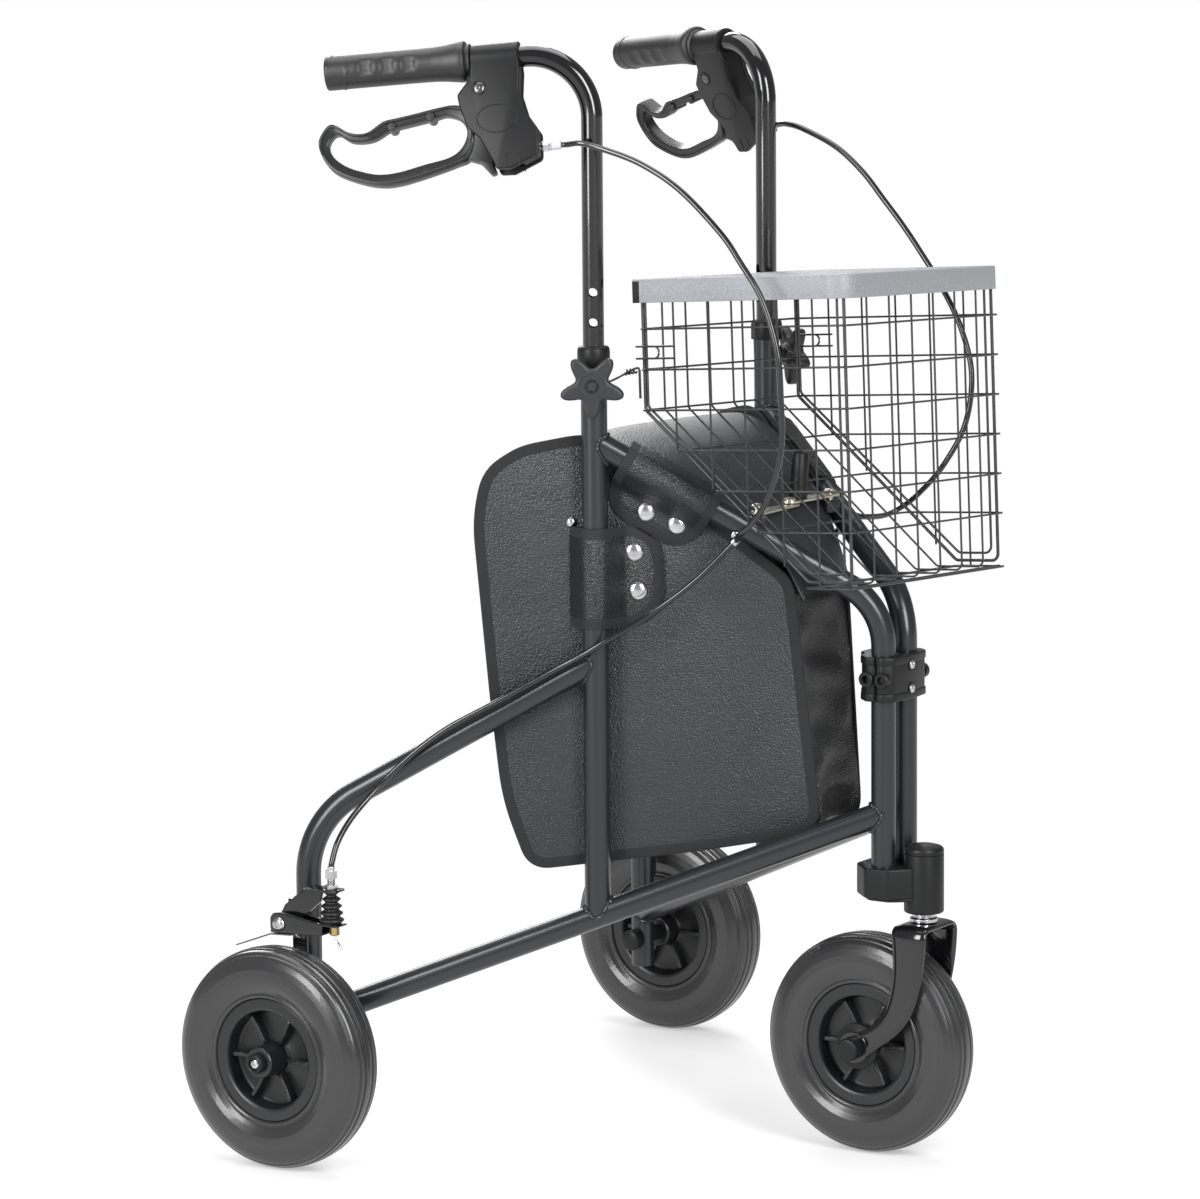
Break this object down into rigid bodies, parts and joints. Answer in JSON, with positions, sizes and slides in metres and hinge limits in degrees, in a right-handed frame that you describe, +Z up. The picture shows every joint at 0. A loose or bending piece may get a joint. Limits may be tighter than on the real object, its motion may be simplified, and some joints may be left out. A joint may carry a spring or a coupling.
{
  "type": "three-wheeled rollator",
  "caption": "Folding three-wheeled indoor walker with looped brake levers, height-adjustable handles, wire basket, lift-off tray and a soft bag between its side frames.",
  "frame": {"origin": "on the floor, midway across the width and midway between the front of the front tyre and the back of the rear tyres", "axes": "+Z up, +Y backwards from the front wheel towards the user, +X towards the user's left hand"},
  "size_m": [0.6916, 0.5908, 0.9513],
  "materials": {
    "black_paint": "satin powder coat with a fine orange peel",
    "black_wire": "dipped satin coating on thin wire",
    "black_plastic": "moulded, lightly textured",
    "black_rubber": "matt rubber with moulding lines",
    "handle_rubber": "soft matt rubber",
    "bright_steel": "bright zinc plate",
    "zinc_plate": "yellowish zinc plate",
    "grey_plastic": "mid grey with fine speckles",
    "black_vinyl": "leather-grain vinyl with woven binding",
    "cable_sheath": "smooth black cable sheath"
  },
  "bodies": {
    "centre": {"hinge_block": "black_plastic", "housing_cap": "black_plastic", "clamp_front": "black_plastic", "clamp_rear": "black_plastic", "bag_body": "black_vinyl"},
    "caster": {"caster_fork": "black_paint", "caster_stem": "bright_steel", "front_axle": "black_plastic"},
    "front_wheel": {"front_rim": "black_plastic", "front_tyre": "black_rubber"},
    "left_frame": {"left_front_tube": "black_paint", "left_upright": "black_paint", "left_lower_rail": "black_paint", "left_rear_leg": "black_paint", "left_collar": "black_plastic", "left_brake_bracket": "black_paint", "left_brake_adjuster": "bright_steel", "left_bellows": "handle_rubber", "left_rear_axle": "bright_steel", "left_bag_panel": "black_vinyl", "left_brake_cable": "cable_sheath"},
    "left_wheel": {"left_rear_rim": "black_plastic", "left_rear_tyre": "black_rubber"},
    "left_handle": {"left_handle_tube": "black_paint", "left_grip": "handle_rubber", "left_brake_housing": "black_plastic", "left_lever_pin": "bright_steel", "left_cable_adjuster": "bright_steel"},
    "left_lever": {"left_brake_lever": "black_plastic"},
    "left_brake": {"left_brake_arm": "black_paint", "left_brake_blade": "bright_steel"},
    "left_knob_body": {"left_knob": "black_plastic"},
    "right_frame": {"right_front_tube": "black_paint", "right_upright": "black_paint", "right_lower_rail": "black_paint", "right_rear_leg": "black_paint", "right_collar": "black_plastic", "right_brake_bracket": "black_paint", "right_brake_adjuster": "bright_steel", "right_bellows": "handle_rubber", "right_rear_axle": "bright_steel", "right_bag_panel": "black_vinyl", "right_brake_cable": "cable_sheath"},
    "right_wheel": {"right_rear_rim": "black_plastic", "right_rear_tyre": "black_rubber"},
    "right_handle": {"right_handle_tube": "black_paint", "right_grip": "handle_rubber", "right_brake_housing": "black_plastic", "right_lever_pin": "bright_steel", "right_cable_adjuster": "bright_steel"},
    "right_lever": {"right_brake_lever": "black_plastic"},
    "right_brake": {"right_brake_arm": "black_paint", "right_brake_blade": "bright_steel"},
    "right_knob_body": {"right_knob": "black_plastic"},
    "left_brace": {"left_brace_link": "zinc_plate", "brace_handle": "handle_rubber"},
    "right_brace": {"right_brace_link": "zinc_plate"},
    "basket_body": {"basket": "black_wire"},
    "tray_body": {"tray": "grey_plastic"}
  },
  "joints": [
    {"name": "caster_swivel", "type": "hinge", "parent": "centre", "child": "caster", "pos_m": [0, -0.25211, 0.209], "axis": [0, 0, 1], "continuous": true},
    {"name": "front_wheel_spin", "type": "hinge", "parent": "caster", "child": "front_wheel", "pos_m": [0, -0.20011, 0.09525], "axis": [1, 0, 0], "continuous": true},
    {"name": "left_fold", "type": "hinge", "parent": "centre", "child": "left_frame", "pos_m": [0.0178, -0.22312, 0.3], "axis": [0, 0, 1], "range_deg": [0, 25], "deforming": ["left_brake_cable", "bag_body"]},
    {"name": "right_fold", "type": "hinge", "parent": "centre", "child": "right_frame", "pos_m": [-0.0178, -0.22312, 0.3], "axis": [0, 0, -1], "range_deg": [0, 25], "deforming": ["right_brake_cable", "bag_body"]},
    {"name": "left_brace_swing", "type": "hinge", "parent": "left_frame", "child": "left_brace", "pos_m": [0.05974, -0.12469, 0.55137], "axis": [0, 0, 1], "range_deg": [-97.5, 0]},
    {"name": "left_height_slide", "type": "slide", "parent": "left_frame", "child": "left_handle", "axis": [0, 0, 1], "range_m": [-0.0762, 0.0508], "deforming": ["left_brake_cable"]},
    {"name": "left_wheel_spin", "type": "hinge", "parent": "left_frame", "child": "left_wheel", "pos_m": [0.30954, 0.20011, 0.09525], "axis": [1, 0, 0], "continuous": true},
    {"name": "left_lever_squeeze", "type": "hinge", "parent": "left_handle", "child": "left_lever", "pos_m": [0.18783, 0.05424, 0.88497], "axis": [0.8751, -0.3592, 0.3244], "range_deg": [0, 11], "stiffness_Nm_per_rad": 1.5, "springref_deg": -8.59},
    {"name": "left_brake_swing", "type": "hinge", "parent": "left_frame", "child": "left_brake", "pos_m": [0.29874, 0.19961, 0.209], "axis": [-1, 0, 0], "range_deg": [0, 5.5], "deforming": ["left_bellows"]},
    {"name": "left_knob_turn", "type": "hinge", "parent": "left_frame", "child": "left_knob_body", "pos_m": [0.13922, -0.01332, 0.664], "axis": [0.8655, -0.5009, 0], "continuous": true},
    {"name": "right_brace_swing", "type": "hinge", "parent": "right_frame", "child": "right_brace", "pos_m": [-0.05974, -0.12469, 0.55137], "axis": [0, 0, -1], "range_deg": [-97.5, 0]},
    {"name": "right_height_slide", "type": "slide", "parent": "right_frame", "child": "right_handle", "axis": [0, 0, 1], "range_m": [-0.0762, 0.0508], "deforming": ["right_brake_cable"]},
    {"name": "right_wheel_spin", "type": "hinge", "parent": "right_frame", "child": "right_wheel", "pos_m": [-0.30954, 0.20011, 0.09525], "axis": [1, 0, 0], "continuous": true},
    {"name": "right_lever_squeeze", "type": "hinge", "parent": "right_handle", "child": "right_lever", "pos_m": [-0.18783, 0.05424, 0.88497], "axis": [0.8751, 0.3592, -0.3244], "range_deg": [0, 11], "stiffness_Nm_per_rad": 1.5, "springref_deg": -8.59},
    {"name": "right_brake_swing", "type": "hinge", "parent": "right_frame", "child": "right_brake", "pos_m": [-0.29874, 0.19961, 0.209], "axis": [-1, 0, 0], "range_deg": [0, 5.5], "deforming": ["right_bellows"]},
    {"name": "right_knob_turn", "type": "hinge", "parent": "right_frame", "child": "right_knob_body", "pos_m": [-0.13922, -0.01332, 0.664], "axis": [-0.8655, -0.5009, 0], "continuous": true},
    {"name": "basket_lift", "type": "slide", "parent": "centre", "child": "basket_body", "axis": [0, 0, 1], "range_m": [0, 0.1]},
    {"name": "tray_lift", "type": "slide", "parent": "basket_body", "child": "tray_body", "axis": [0.0435, 0.0593, 0.9973], "range_m": [0, 0.05]}
  ],
  "couplings": [
    {"joint": "right_fold", "follows": "left_fold", "ratio": 1},
    {"joint": "left_brace_swing", "follows": "left_fold", "ratio": -3.8971},
    {"joint": "left_brake_swing", "follows": "left_lever_squeeze", "ratio": 0.5},
    {"joint": "right_brace_swing", "follows": "left_fold", "ratio": -3.8971},
    {"joint": "right_brake_swing", "follows": "right_lever_squeeze", "ratio": 0.5}
  ]
}
